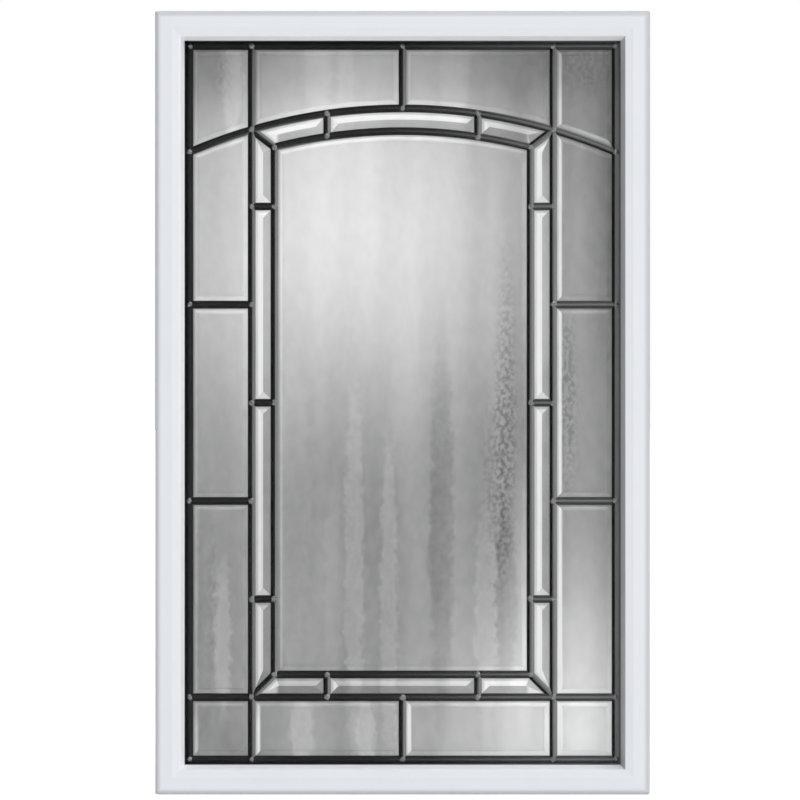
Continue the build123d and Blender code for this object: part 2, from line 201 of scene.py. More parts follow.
def white_moulding():
    """Satin white, with painted shade at the outer edge and in the right return, and painted light in
    the left and top returns.
    """
    material = mottled(
        "white moulding",
        light=(0.765, 0.783, 0.814),
        dark=(0.73, 0.753, 0.79),
        cloud=9.0,
        grain=700.0,
        depth=0.06,
        smooth=0.38,
        rough=0.5,
    )
    add, join, maths, ranged = toolkit(material.node_tree)
    shader = material.node_tree.nodes["Principled BSDF"]
    skin = shader.inputs["Base Color"].links[0].from_socket
    place = add("ShaderNodeTexCoord")
    apart = add("ShaderNodeSeparateXYZ")
    facing = add("ShaderNodeSeparateXYZ")
    join(place.outputs["Object"], apart.inputs["Vector"])
    join(place.outputs["Normal"], facing.inputs["Vector"])
    leftward = maths("MULTIPLY", facing.outputs["X"], -1.0)
    downward = maths("MULTIPLY", facing.outputs["Z"], -1.0)
    # Painted shade in the right return and round the outer edge, then painted light in the left and top
    # returns.
    inside = ranged(apart.outputs["X"], *face_x, 0.0, 1.0)
    right = maths("MULTIPLY", inside, ranged(apart.outputs["X"], *return_x, 0.0, 1.0))
    shade = maths("MULTIPLY", right, ranged(leftward, *return_slope, 0.0, return_shade))
    rims = (
        ("X", cad_high.x, right_rim_shade),
        ("X", cad_low.x, left_rim_shade),
        ("Z", cad_high.z, top_rim_shade),
        ("Z", cad_low.z, bottom_rim_shade),
    )
    for axis, edge, depth in rims:
        start, full = edge - math.copysign(rim_shade_start, edge), edge - math.copysign(rim_shade_full, edge)
        shade = maths("MAXIMUM", ranged(apart.outputs[axis], start, full, 0.0, depth), shade)
    mirrored_x = maths("MULTIPLY", apart.outputs["X"], -1.0)
    lit = ranged(facing.outputs["X"], *return_slope, 0.0, 1.0)
    lit = maths("MULTIPLY", lit, ranged(mirrored_x, *return_x, 0.0, 1.0))
    under = ranged(downward, *return_slope, 0.0, 1.0)
    under = maths("MULTIPLY", under, ranged(apart.outputs["Z"], *return_z, 0.0, 1.0))
    pale = add("ShaderNodeMix", data_type="RGBA")
    pale.inputs["B"].default_value = painted_light_return
    join(maths("MAXIMUM", lit, under), pale.inputs["Factor"])
    join(skin, pale.inputs["A"])
    dim = add("ShaderNodeMix", data_type="RGBA", blend_type="MULTIPLY")
    dim.inputs["B"].default_value = painted_shade_grey
    join(shade, dim.inputs["Factor"])
    join(pale.outputs["Result"], dim.inputs["A"])
    join(dim.outputs["Result"], shader.inputs["Base Color"])
    return material


dress(white_moulding(), "exterior_frame", "interior_frame")


# The screws that draw the halves together, and the plugs that hide their heads.
# Zinc-plated steel; the plugs are pressed-in white plastic.

zinc = mottled(
    "zinc plate",
    light=(0.62, 0.62, 0.6),
    dark=(0.42, 0.43, 0.44),
    cloud=250.0,
    grain=3000.0,
    depth=0.1,
    smooth=0.28,
    rough=0.45,
    metallic=1.0,
)
dress(zinc, "frame_screws")
plug_white = mottled(
    "plug plastic",
    light=(0.82, 0.835, 0.86),
    dark=(0.77, 0.79, 0.82),
    cloud=60.0,
    grain=1500.0,
    depth=0.08,
    smooth=0.42,
    rough=0.55,
)


def finish_piece(name, mesh, material, slot, *stands_for):
    """Makes a bmesh a piece of the object: one mesh at the origin, riding with the frame."""
    bmesh.ops.recalc_face_normals(mesh, faces=mesh.faces)
    data = bpy.data.meshes.new(name)
    mesh.to_mesh(data)
    mesh.free()
    piece = bpy.data.objects.new(name, data)
    bpy.context.scene.collection.objects.link(piece)
    data.materials.append(material)
    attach(piece, "root")
    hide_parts(*stands_for)
    return piece


def spread(length, count, end):
    """Places along a member, evenly between its two ends."""
    reach = length / 2 - end
    return [reach * (2 * i / (count - 1) - 1) for i in range(count)]


plug_radius = 0.00395
plug_sides = 24
plug_length = 0.003
plug_rim = 0.0004
plug_dish_share = 0.55
plug_dish = plug_rim / 3
plug_inset = 0.0208
plug_recess = 0.0006
upright_end, level_end = 0.1016, 0.1778
half_width, half_height = cad_high.x, cad_high.z
plug_x, plug_z = half_width - plug_inset, half_height - plug_inset
uprights, levels = spread(2 * half_height, 4, upright_end), spread(2 * half_width, 2, level_end)
plug_places = [(side * plug_x, z) for side in (-1, 1) for z in uprights]
plug_places += [(x, side * plug_z) for side in (-1, 1) for x in levels]
turn = Matrix.Rotation(math.radians(-90), 4, "X")
plugs = bmesh.new()
for x, z in plug_places:
    known = set(plugs.verts)
    made = bmesh.ops.create_circle(plugs, cap_ends=True, segments=plug_sides, radius=plug_radius)
    disc = made["verts"][0].link_faces[0]
    grown = bmesh.ops.extrude_face_region(plugs, geom=[disc])["geom"]
    top = [part for part in grown if isinstance(part, bmesh.types.BMFace)]
    raised = [part for part in grown if isinstance(part, bmesh.types.BMVert)]
    bmesh.ops.translate(plugs, verts=raised, vec=(0, 0, plug_length - plug_rim))
    bmesh.ops.inset_region(plugs, faces=top, thickness=plug_rim, depth=plug_rim)
    bmesh.ops.inset_region(plugs, faces=top, thickness=plug_radius * plug_dish_share, depth=-plug_dish)
    whole = [vert for vert in plugs.verts if vert not in known]
    shift = Matrix.Translation((x, cad_high.y - plug_recess - plug_length, z))
    bmesh.ops.transform(plugs, matrix=shift @ turn, verts=whole)
plug_piece = finish_piece("round_plugs", plugs, plug_white, "frame_moulding", "screw_plugs")
plug_piece.data.shade_smooth()


# The spacers and the rubbery parts round the glazed unit.
# Dark anodised bar, black butyl sealant, white bead and tape, and black setting blocks.

spacer_bar = mottled(
    "spacer bar",
    light=(0.09, 0.09, 0.095),
    dark=(0.05, 0.05, 0.055),
    cloud=80.0,
    grain=2500.0,
    depth=0.15,
    smooth=0.3,
    rough=0.42,
    metallic=0.8,
)
dress(spacer_bar, "exterior_spacer", "interior_spacer")
sealant = mottled(
    "edge sealant",
    light=(0.035, 0.035, 0.035),
    dark=(0.018, 0.018, 0.018),
    cloud=120.0,
    grain=600.0,
    depth=0.5,
    smooth=0.55,
    rough=0.75,
)
dress(sealant, "edge_sealant", "setting_blocks")
bead_white = mottled(
    "white bead",
    light=(0.78, 0.79, 0.81),
    dark=(0.68, 0.69, 0.71),
    cloud=150.0,
    grain=900.0,
    depth=0.35,
    smooth=0.5,
    rough=0.65,
)
dress(bead_white, "exterior_glazing_bead", "interior_glazing_tape")


# The two outer lites: toughened clear float glass that seals the leaded panel in.
# Light for the panel passes straight through them.


def clear_float():
    """Clear glass with a faint haze, which casts no shadow on the panel."""
    material, shader = start_material("clear float")
    add, join, *_ = toolkit(material.node_tree)
    shader.inputs["Base Color"].default_value = (0.985, 0.987, 0.986, 1)
    shader.inputs["Transmission Weight"].default_value = 1.0
    shader.inputs["IOR"].default_value = 1.12
    place = add("ShaderNodeTexCoord")
    haze = add("ShaderNodeTexNoise", {"Scale": 6.0, "Detail": 3.0})
    film = add("ShaderNodeMapRange", {"From Min": 0.45, "From Max": 0.7, "To Min": 0.0, "To Max": 0.03})
    join(place.outputs["Object"], haze.inputs["Vector"])
    join(haze.outputs["Fac"], film.inputs["Value"])
    join(film.outputs["Result"], shader.inputs["Roughness"])
    path = add("ShaderNodeLightPath")
    through = add("ShaderNodeBsdfTransparent")
    mix = add("ShaderNodeMixShader")
    output = material.node_tree.nodes["Material Output"]
    join(path.outputs["Is Shadow Ray"], mix.inputs["Fac"])
    join(shader.outputs["BSDF"], mix.inputs[1])
    join(through.outputs["BSDF"], mix.inputs[2])
    join(mix.outputs["Shader"], output.inputs["Surface"])
    return material


dress(clear_float(), "exterior_lite", "interior_lite")


# The flat panes: rolled glass with soft upright ripples, its margins ground to a low bevel.
# Its grey carries painted light and shade: palest high in the middle of the door and in its lower right
# corner.
# Every light place, streak, seed place and glint is x, z, reach across, reach up and strength.

pane_grey = 0.30
painted_light_places = (
    (-0.06, 0.22, 0.33, 0.36, 0.385),
    (-0.24, 0.06, 0.12, 0.34, 0.07),
    (0.27, -0.44, 0.34, 0.34, 0.42),
    (-0.24, -0.41, 0.09, 0.07, -0.05),
    (-0.09, -0.41, 0.15, 0.06, 0.04),
    (-0.25, 0.42, 0.10, 0.12, -0.05),
    (-0.10, 0.43, 0.20, 0.11, 0.03),
    (0.24, 0.42, 0.12, 0.14, 0.015),
    (0.165, 0.40, 0.055, 0.14, -0.07),
    (0.275, 0.30, 0.06, 0.36, -0.075),
    (0.00, 0.447, 0.40, 0.02, 0.10),
    (0.173, 0.08, 0.022, 0.36, 0.15),
)
streaks = (
    (-0.060, -0.20, 0.014, 0.28, 0.065),
    (-0.017, -0.25, 0.013, 0.26, 0.065),
    (0.048, -0.16, 0.018, 0.30, -0.062),
    (0.128, -0.24, 0.017, 0.14, -0.06),
    (0.103, -0.27, 0.016, 0.18, 0.06),
    (0.150, -0.25, 0.018, 0.20, 0.03),
    (-0.135, -0.14, 0.026, 0.26, 0.035),
    (-0.085, -0.22, 0.015, 0.16, 0.03),
    (-0.244, -0.24, 0.014, 0.20, -0.04),
    (-0.222, -0.29, 0.012, 0.12, 0.075),
    (-0.045, -0.41, 0.014, 0.06, 0.10),
    (-0.125, -0.41, 0.018, 0.06, 0.09),
    (-0.105, 0.41, 0.020, 0.10, 0.05),
    (-0.07, 0.40, 0.012, 0.10, 0.04),
    (0.065, 0.41, 0.022, 0.10, 0.04),
    (-0.210, 0.40, 0.014, 0.10, 0.08),
)
seed_places = (
    (0.128, -0.01, 0.019, 0.27, 1.0),
    (0.112, -0.12, 0.020, 0.22, 0.5),
    (0.205, 0.00, 0.018, 0.17, 0.8),
    (0.23, 0.42, 0.05, 0.06, 0.4),
    (-0.232, -0.28, 0.018, 0.16, 0.2),
    (-0.22, 0.40, 0.02, 0.06, 0.5),
)
glints = ((0.22, 0.0, 0.09, 0.9, 1.6), (-0.04, -0.42, 0.32, 0.09, 1.8))
light_wander, streak_wander, seed_wander = (7.0, 0.04, 3.0), (90.0, 0.024, 6.0), (60.0, 0.014, 3.0)
streak_full, seed_full = 0.6, 0.2
broad_grain, blotch_grain, seed_grain = (24.0, 0.0, 2.0), (75.0, 0.0, 48.0), (190.0, 0.0, 150.0)
broad_start = (3.1, 0, 1.7)
broad_swing, blotch_swing, streak_swing = 0.03, 0.012, 0.15
seed_light, seed_dark = 0.025, -0.11
shadow_start, shadow_share = 0.75, 0.72
strip_end_x = (0.152, 0.158)
facet_slope, level_slope = (0.04, 0.12), (0.975, 0.995)
darkest_light, palest_light = 0.07, 0.8
facet_gloss, pane_gloss = 0.1, 0.4
facet_ways = (("Z", 1, "Upper"), ("Z", -1, "Lower"), ("X", 1, "Right"), ("X", -1, "Left"))


def rolled_glass_group():
    """The grey of the glass, from painted broad light to fine seed, with a painted light tone for each
    ground facet.
    """
    inputs = [(f"{way} Gain", "NodeSocketFloat", 1.0) for _, _, way in facet_ways]
    inputs += [(f"{way} Lift", "NodeSocketFloat", 0.0) for _, _, way in facet_ways]
    for label in ("Left Glint", "Lower End Lift", "Crest Depth", "Foot Depth", "Crest Share"):
        inputs.append((label, "NodeSocketFloat", 0.0))
    outputs = [
        ("Color", "NodeSocketColor"),
        ("Roughness", "NodeSocketFloat"),
        ("Normal", "NodeSocketVector"),
    ]
    group = start_group("rolled glass", inputs, outputs)
    add, join, maths, ranged = toolkit(group)
    given, out = add("NodeGroupInput"), add("NodeGroupOutput")
    place = add("ShaderNodeTexCoord")

    def stretched_noise(stretch, detail, start=(0, 0, 0)):
        """Noise with a grain of its own across and up the panel."""
        turn = add("ShaderNodeMapping", {"Scale": stretch, "Location": start})
        texture = add("ShaderNodeTexNoise", {"Scale": 1.0, "Detail": detail, "Roughness": 0.55})
        join(place.outputs["Object"], turn.inputs["Vector"])
        join(turn.outputs["Vector"], texture.inputs["Vector"])
        return texture.outputs["Fac"]

    def wandering(scale, depth, detail):
        """Object coordinates pushed about, so that the edges of light and shade wander."""
        cloud = add("ShaderNodeTexNoise", {"Scale": scale, "Detail": detail, "Roughness": 0.6})
        centred = add("ShaderNodeVectorMath", operation="SUBTRACT")
        centred.inputs[1].default_value = (0.5, 0.5, 0.5)
        pushed = add("ShaderNodeVectorMath", operation="MULTIPLY_ADD")
        pushed.inputs[1].default_value = (depth, 0, depth)
        join(place.outputs["Object"], cloud.inputs["Vector"])
        join(cloud.outputs["Color"], centred.inputs[0])
        join(centred.outputs["Vector"], pushed.inputs[0])
        join(place.outputs["Object"], pushed.inputs[2])
        return pushed.outputs["Vector"]

    def glows(vector, places, full=0.0):
        """The sum of soft places, each strongest up to a share of its reach and gone at its reach."""
        total = 0.0
        for x, z, reach_x, reach_z, strength in places:
            shift = (-x / reach_x, 0, -z / reach_z)
            turn = add("ShaderNodeMapping", {"Scale": (1 / reach_x, 0, 1 / reach_z), "Location": shift})
            away = add("ShaderNodeVectorMath", operation="LENGTH")
            join(vector, turn.inputs["Vector"])
            join(turn.outputs["Vector"], away.inputs[0])
            total = maths("ADD", ranged(away.outputs["Value"], full, 1.0, strength, 0.0), total)
        return total

    broad = stretched_noise(broad_grain, 0.5, broad_start)
    blotch = stretched_noise(blotch_grain, 2.0)
    seed = stretched_noise(seed_grain, 2.5)
    light = maths("ADD", glows(wandering(*light_wander), painted_light_places), pane_grey)
    streak = glows(wandering(*streak_wander), streaks, streak_full)
    streak = maths("MULTIPLY", streak, ranged(seed, 0.35, 0.65, 1 - streak_swing, 1 + streak_swing))
    light = maths("ADD", light, streak)
    light = maths("ADD", light, ranged(broad, 0.3, 0.7, -broad_swing, broad_swing))
    light = maths("ADD", light, ranged(blotch, 0.35, 0.65, -blotch_swing, blotch_swing))
    seeded = glows(wandering(*seed_wander), seed_places, seed_full)
    speckle = ranged(seed, 0.38, 0.62, seed_light, seed_dark)
    light = maths("ADD", light, maths("MULTIPLY", speckle, seeded))

    facing = add("ShaderNodeSeparateXYZ")
    join(place.outputs["Normal"], facing.inputs["Vector"])
    glint = maths("MULTIPLY", given.outputs["Left Glint"], glows(place.outputs["Object"], glints))
    glint = maths("MINIMUM", glint, given.outputs["Left Glint"])
    apart = add("ShaderNodeSeparateXYZ")
    join(place.outputs["Object"], apart.inputs["Vector"])
    down = add("ShaderNodeMapRange")
    join(apart.outputs["Y"], down.inputs["Value"])
    join(given.outputs["Crest Depth"], down.inputs["From Min"])
    join(given.outputs["Foot Depth"], down.inputs["From Max"])
    fade = add("ShaderNodeMapRange", {"From Max": 0.6}, interpolation_type="SMOOTHSTEP")
    join(down.outputs["Result"], fade.inputs["Value"])
    join(given.outputs["Crest Share"], fade.inputs["To Min"])
    shadow = ranged(down.outputs["Result"], shadow_start, 1.0, 1.0, shadow_share)
    aside = ranged(maths("ABSOLUTE", apart.outputs["X"]), *strip_end_x, 0.0, 1.0)
    end_lift = maths("MULTIPLY", given.outputs["Lower End Lift"], aside)
    # Painted light on the ground facets: a gain and lift for each way they face, a painted shadow of the
    # came near the foot of the upper and left ones, and a painted glint on the left ones.
    tone = light
    for axis, sign, way in facet_ways:
        facet = ranged(maths("MULTIPLY", facing.outputs[axis], sign), *facet_slope, 0.0, 1.0)
        turned = maths("MULTIPLY", light, given.outputs[f"{way} Gain"])
        turned = maths("ADD", turned, given.outputs[f"{way} Lift"])
        if way == "Left":
            turned = maths("ADD", turned, glint)
        if way == "Lower":
            turned = maths("ADD", turned, end_lift)
        if way in ("Upper", "Left"):
            turned = maths("MULTIPLY", turned, shadow)
        blend = add("ShaderNodeMix", data_type="FLOAT")
        join(maths("MULTIPLY", facet, fade.outputs["Result"]), blend.inputs["Factor"])
        join(tone, blend.inputs["A"])
        join(turned, blend.inputs["B"])
        tone = blend.outputs["Result"]
    grey = add("ShaderNodeMapRange", {"From Min": darkest_light, "From Max": palest_light})
    join(tone, grey.inputs["Value"])
    colour = add("ShaderNodeCombineColor")
    for channel in ("Red", "Green", "Blue"):
        join(grey.outputs["Result"], colour.inputs[channel])
    join(colour.outputs["Color"], out.inputs["Color"])

    level = ranged(maths("ABSOLUTE", facing.outputs["Y"]), *level_slope, 0.0, 1.0)
    join(ranged(level, 0.0, 1.0, facet_gloss, pane_gloss), out.inputs["Roughness"])
    height = maths("ADD", maths("MULTIPLY", blotch, 0.6), maths("MULTIPLY", seed, seeded))
    bump = add("ShaderNodeBump", {"Strength": 0.3, "Distance": 0.0015})
    join(maths("MULTIPLY", height, level), bump.inputs["Height"])
    join(bump.outputs["Normal"], out.inputs["Normal"])
    return group


glass_light = rolled_glass_group()


def leaded_glass(name, transmission, ior, facets):
    """A glass of the leaded panel, with its own tones for the ground facets."""
    material, shader = start_material(name)
    add, join, *_ = toolkit(material.node_tree)
    effect = add("ShaderNodeGroup", facets, node_tree=glass_light)
    shader.inputs["Transmission Weight"].default_value = transmission
    shader.inputs["IOR"].default_value = ior
    join(effect.outputs["Color"], shader.inputs["Base Color"])
    join(effect.outputs["Roughness"], shader.inputs["Roughness"])
    join(effect.outputs["Normal"], shader.inputs["Normal"])
    return material


foot_depth = -0.0021
pane_names = [name for name in nodes if name.endswith("pane")]
# The pane margins' painted light: a tone for each way a ground facet faces.
pane_facets = {
    "Crest Depth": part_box(pane_names[0])[0].y,
    "Foot Depth": foot_depth,
    "Crest Share": 0.15,
    "Left Gain": 1.15,
    "Left Lift": 0.06,
    "Left Glint": 0.45,
    "Right Gain": 1.3,
    "Right Lift": -0.09,
    "Upper Gain": 1.2,
    "Upper Lift": 0.0,
    "Lower Gain": 1.6,
    "Lower Lift": -0.12,
}
dress(leaded_glass("rolled glass", 0.25, 1.5, pane_facets), *pane_names)


# The bevelled border: clear strips ground to a ridge, their facets given painted light. One side of a
# strip is painted white and the other grey, as its facets would turn the view sideways.

bevel_names = [name for name in nodes if "bevel" in name]
bevel_facets = {
    "Crest Depth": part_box(bevel_names[0])[0].y,
    "Foot Depth": foot_depth,
    "Crest Share": 0.8,
    "Left Gain": 0.9,
    "Left Lift": 0.42,
    "Left Glint": 0.1,
    "Right Gain": 0.65,
    "Right Lift": 0.07,
    "Upper Gain": 1.5,
    "Upper Lift": 0.0,
    "Lower Gain": 0.75,
    "Lower Lift": 0.03,
    "Lower End Lift": 0.3,
}
dress(leaded_glass("bevel glass", 0.25, 1.52, bevel_facets), *bevel_names)


# The cames: H-shaped lead strips with domed leaves, dressed down over the glass.
# Black patina over the metal, with a painted sheen: greyer on the crown and on the flanks that look
# right.

painted_sheen_grey = (0.195, 0.195, 0.198, 1)
least_sheen = 0.06
flank_slope, flank_reach = (0.005, 0.12), (-0.262, -0.15)
crown_tilt, crown_turn, crown_reach = (0.03, 0.15), (-0.12, -0.02), (-0.08, 0.36)
crown_share = 0.3
wing_x, wing_share = (0.266, 0.268), 0.5


def patina():
    """Black over the lead, with a painted sheen that depends on where the surface looks and lies."""
    material = mottled(
        "black patina",
        light=(0.007, 0.007, 0.0075),
        dark=(0.003, 0.003, 0.0035),
        cloud=45.0,
        grain=900.0,
        depth=0.06,
        smooth=0.28,
        rough=0.4,
        specular=0.06,
    )
    add, join, maths, ranged = toolkit(material.node_tree)
    shader = material.node_tree.nodes["Principled BSDF"]
    skin = shader.inputs["Base Color"].links[0].from_socket
    place = add("ShaderNodeTexCoord")
    facing = add("ShaderNodeSeparateXYZ")
    along = add("ShaderNodeSeparateXYZ")
    join(place.outputs["Normal"], facing.inputs["Vector"])
    join(place.outputs["Object"], along.inputs["Vector"])
    # Painted sheen: right-looking flanks and level crowns grow greyer towards the right of the panel,
    # and the right border's wing is grey.
    flank = ranged(facing.outputs["X"], *flank_slope, 0.0, 1.0)
    flank = maths("MULTIPLY", flank, ranged(along.outputs["X"], *flank_reach, least_sheen, 1.0))
    crown = ranged(maths("ABSOLUTE", facing.outputs["Z"]), *crown_tilt, 1.0, crown_share)
    crown = maths("MULTIPLY", crown, ranged(facing.outputs["X"], *crown_turn, 0.0, 1.0))
    crown = maths("MULTIPLY", crown, ranged(along.outputs["X"], *crown_reach, least_sheen, 1.0))
    wing = ranged(along.outputs["X"], *wing_x, 0.0, wing_share)
    painted_sheen = maths("MAXIMUM", maths("MAXIMUM", flank, crown), wing)
    shade = add("ShaderNodeMix", data_type="RGBA")
    shade.inputs["B"].default_value = painted_sheen_grey
    join(painted_sheen, shade.inputs["Factor"])
    join(skin, shade.inputs["A"])
    join(shade.outputs["Result"], shader.inputs["Base Color"])
    return material


black_patina = patina()

came_half = 0.00475
came_top = 0.003175
channel_top = 0.0019
leaf_side = 0.0022
leaf_shoulder = 0.0024
shoulder_in = 0.00018
heart_half = 0.0008
dome_radius = 0.0138
dome_steps = 5
wing_start, wing_end = 0.00565, 0.01365
tuck = 0.0025
run_step = 0.012
mitre_over = 1.05
same_point = 1e-7
border_x, border_z = 0.26375, 0.44155
outer_x, inner_x = 0.18675, 0.15855
rung_x = outer_x / 2
crown_z, lower_z, inner_lower_z = 0.36455, -0.36455, -0.33635
arch_z, arch_radius, inner_radius = -0.30545, 0.670, 0.6418
row_height = (crown_z - lower_z) / 3
end_at = came_half - tuck


def arch_height(radius, x):
    """Height of an arch's line at a distance from the middle."""
    return arch_z + math.sqrt(radius**2 - x**2)


def came_outline(winged):
    """The H of a came as across and deep pairs, its leaves domed by the die that drew it."""
    top = [(came_half, channel_top), (came_half, leaf_side), (came_half - shoulder_in, leaf_shoulder)]
    for step in reversed(range(dome_steps)):
        across = step / dome_steps * came_half
        top.append((across, came_top - dome_radius + math.sqrt(dome_radius**2 - across**2)))
    left = [(-across, deep) for across, deep in reversed(top[:-1])]
    if winged:
        wing = [(-wing_start, leaf_shoulder), (-wing_start, came_top), (-wing_end, came_top)]
        left = left[:-2] + wing + [(-wing_end, channel_top)]
    upper = [(heart_half, channel_top), *top, *left, (-heart_half, channel_top)]
    return upper + [(across, -deep) for across, deep in reversed(upper)]


def run_came(mesh, origin, across, winged=False, **path):
    """Draws a came along a straight line or round an arch, and returns its faces."""
    across = Vector(across).normalized()
    corners = [Vector(origin) + across * a + Vector((0, d, 0)) for a, d in came_outline(winged)]
    known = set(mesh.faces)
    face = mesh.faces.new([mesh.verts.new(corner) for corner in corners])
    bmesh.ops.spin(mesh, geom=[face, *face.edges, *face.verts], **path)
    return [part for part in mesh.faces if part not in known]


def trim(mesh, faces, point, outward):
    """Cuts a came along a plane, drops what is outside it and caps the end."""
    parts = dict.fromkeys(part for face in faces for part in (face, *face.edges, *face.verts))
    known = set(mesh.faces) - set(faces)
    cut = bmesh.ops.bisect_plane(
        mesh, geom=list(parts), plane_co=point, plane_no=outward, clear_outer=True, dist=same_point
    )
    edges = [part for part in cut["geom_cut"] if isinstance(part, bmesh.types.BMEdge)]
    if edges:
        bmesh.ops.holes_fill(mesh, edges=edges, sides=0)
    return [part for part in mesh.faces if part not in known]


def straight(start, end, *cuts, winged=False):
    """A straight length between two points of the panel."""

    def make(mesh):
        first = Vector((start[0], 0, start[1]))
        along = Vector((end[0], 0, end[1])) - first
        steps = max(2, round(along.length / run_step))
        across = along.cross(Vector((0, 1, 0)))
        path = {"axis": (0, 1, 0), "angle": 0.0, "dvec": along / steps, "steps": steps}
        faces = run_came(mesh, first, across, winged, **path)
        for cut in cuts:
            faces = trim(mesh, faces, *cut)

    return make


def arched(radius, *cuts):
    """A length bent to an arch that reaches the border on both sides, then cut."""

    def make(mesh):
        reach = math.asin(border_x / radius)
        centre = Vector((0, 0, arch_z))
        first = Vector((-math.sin(reach), 0, math.cos(reach)))
        steps = round(2 * reach * radius / run_step)
        path = {"cent": centre, "axis": (0, 1, 0), "angle": 2 * reach, "steps": steps}
        faces = run_came(mesh, centre + first * radius, first, **path)
        for cut in cuts:
            faces = trim(mesh, faces, *cut)

    return make


def upright(x, side):
    """A cut along an upright line that drops what is on one side of it."""
    return (x, 0, 0), (side, 0, 0)


def corner(x, end, outer):
    """A corner of the bevelled border, at the arch (end 1) or at the lower cames (end -1)."""
    radius, low = (arch_radius, lower_z) if outer else (inner_radius, inner_lower_z)
    return Vector((x, 0, arch_height(radius, abs(x)) if end > 0 else low))


def mitre(side, end, middle):
    """The mitre cut at a corner of the inner frame, for the came round that middle."""
    inner = corner(side * inner_x, end, False)
    along = corner(side * outer_x, end, True) - inner
    across = along.cross(Vector((0, 1, 0)))
    if across.dot(Vector(middle) - inner) > 0:
        across.negate()
    return inner, across


def border_side(start, end):
    """One side of the border, mitred at the panel's corners."""
    first, last = Vector((start[0], 0, start[1])), Vector((end[0], 0, end[1]))
    along = (last - first).normalized()
    inward = -((first + last) / 2).normalized()
    over = along * 2 * wing_end
    far_start, far_end = first - over, last + over
    cuts = [(first, inward - along), (last, inward + along)]
    return straight((far_start.x, far_start.z), (far_end.x, far_end.z), *cuts, winged=True)


runs = {}
corners = [(-border_x, border_z), (-border_x, -border_z), (border_x, -border_z), (border_x, border_z)]
runs["border_cames"] = [border_side(*ends) for ends in zip(corners, corners[1:] + corners[:1])]
rows = [lower_z + row_height * (row + 0.5) for row in range(3)]
crosses = [lower_z + row_height * row for row in (1, 2)]
for side, name in ((-1, "left"), (1, "right")):
    outer, inner, edge = side * outer_x, side * inner_x, side * (border_x - end_at)
    up = border_z - end_at
    runs[f"{name}_outer_came"] = [straight((outer, -up), (outer, up))]
    runs[f"{name}_cross_cames"] = [
        straight((edge, z), (side * (outer_x + end_at), z)) for z in crosses
    ]
    runs[f"{name}_rungs"] = [
        straight((side * (outer_x - end_at), z), (side * (inner_x + end_at), z)) for z in rows
    ]
    middle = (inner, 0, 0)
    runs[f"{name}_inner_came"] = [
        straight((inner, -border_z), (inner, border_z), mitre(side, -1, middle), mitre(side, 1, middle))
    ]
    runs.setdefault("corner_mitre_cames", []).extend(
        straight(
            corner(outer, end, True).xz,
            corner(inner, end, False).xz,
            upright(side * (outer_x - end_at), side),
            ((0, 0, corner(outer, end, True).z - end * end_at * mitre_over), (0, 0, end)),
        )
        for end in (-1, 1)
    )
gaps = [(-border_x, -outer_x), (-outer_x, outer_x), (outer_x, border_x)]
between = [(left + end_at, right - end_at) for left, right in gaps]
runs["arch_cames"] = [
    arched(arch_radius, upright(left, -1), upright(right, 1)) for left, right in between
]
runs["lower_cames"] = [straight((left, lower_z), (right, lower_z)) for left, right in between]
low = (0, 0, inner_lower_z)
runs["inner_lower_came"] = [
    straight((-outer_x, inner_lower_z), (outer_x, inner_lower_z), mitre(-1, -1, low), mitre(1, -1, low))
]
high = (0, 0, arch_z + inner_radius)
runs["inner_arch_came"] = [arched(inner_radius, mitre(-1, 1, high), mitre(1, 1, high))]
runs["divider_cames"] = [
    straight((0, -border_z + end_at), (0, lower_z - end_at)),
    straight((0, crown_z + end_at), (0, border_z - end_at)),
]
runs["lower_rungs"] = [
    straight((x, lower_z + end_at), (x, inner_lower_z - end_at)) for x in (-rung_x, rung_x)
]
runs["arch_rungs"] = [
    straight(
        (x, arch_height(inner_radius, x) + end_at), (x, arch_height(arch_radius, x) - end_at)
    )
    for x in (-rung_x, rung_x)
]

waver_grain = 45.0
waver_side, waver_deep = 0.00014, 0.00005
waver_starts = [Vector(start) for start in ((0.3, 0.7, 0.1), (17.9, 8.2, 11.4), (29.6, 23.5, 19.8))]
leaf_clear = 1e-5
crease = math.radians(35)
for node, lengths in runs.items():
    lead = bmesh.new()
    for make in lengths:
        make(lead)
    for vert in lead.verts:
        if abs(vert.co.y) > channel_top + leaf_clear:
            spot = vert.co * waver_grain
            across, deep, up = (noise.noise(spot + start) for start in waver_starts)
            vert.co += Vector((across, 0, up)) * waver_side
            vert.co.y -= math.copysign(abs(deep) * waver_deep, vert.co.y)
    piece = finish_piece(f"{node}_domed", lead, black_patina, "came_metal", node)
    piece.data.shade_smooth()
    piece.data.set_sharp_from_angle(angle=crease)


# The solder: a low bead of tin-lead over every joint, on both faces of the panel.
# Patinated with the cames, but smoother and a little brighter.

dark_solder = mottled(
    "dark solder",
    light=(0.38, 0.38, 0.385),
    dark=(0.04, 0.04, 0.042),
    cloud=260.0,
    grain=500.0,
    depth=0.5,
    smooth=0.18,
    rough=0.36,
    metallic=0.85,
)
solder_reach = 0.0046
solder_sink = 0.0006
solder_high = 0.003725
solder_root = 0.0008
same_depth = 1e-9
solder_share, solder_swell = 0.88, 0.5
lump_grain = 0.8
lump_x, lump_face = 31, 7.0
joints = [(0, z) for z in (-border_z, lower_z, crown_z, border_z)]
for side in (-1, 1):
    arch_end = arch_height(arch_radius, border_x)
    joints += [(side * border_x, z) for z in (-border_z, lower_z, *crosses, arch_end, border_z)]
    arch_cross = arch_height(arch_radius, outer_x)
    outers = (-border_z, lower_z, *crosses, *rows, arch_cross, border_z)
    joints += [(side * outer_x, z) for z in outers]
    inners = (inner_lower_z, *rows, arch_height(inner_radius, inner_x))
    joints += [(side * inner_x, z) for z in inners]
    tops = [arch_height(radius, rung_x) for radius in (arch_radius, inner_radius)]
    joints += [(side * rung_x, z) for z in (lower_z, inner_lower_z, *tops)]
beads = bmesh.new()
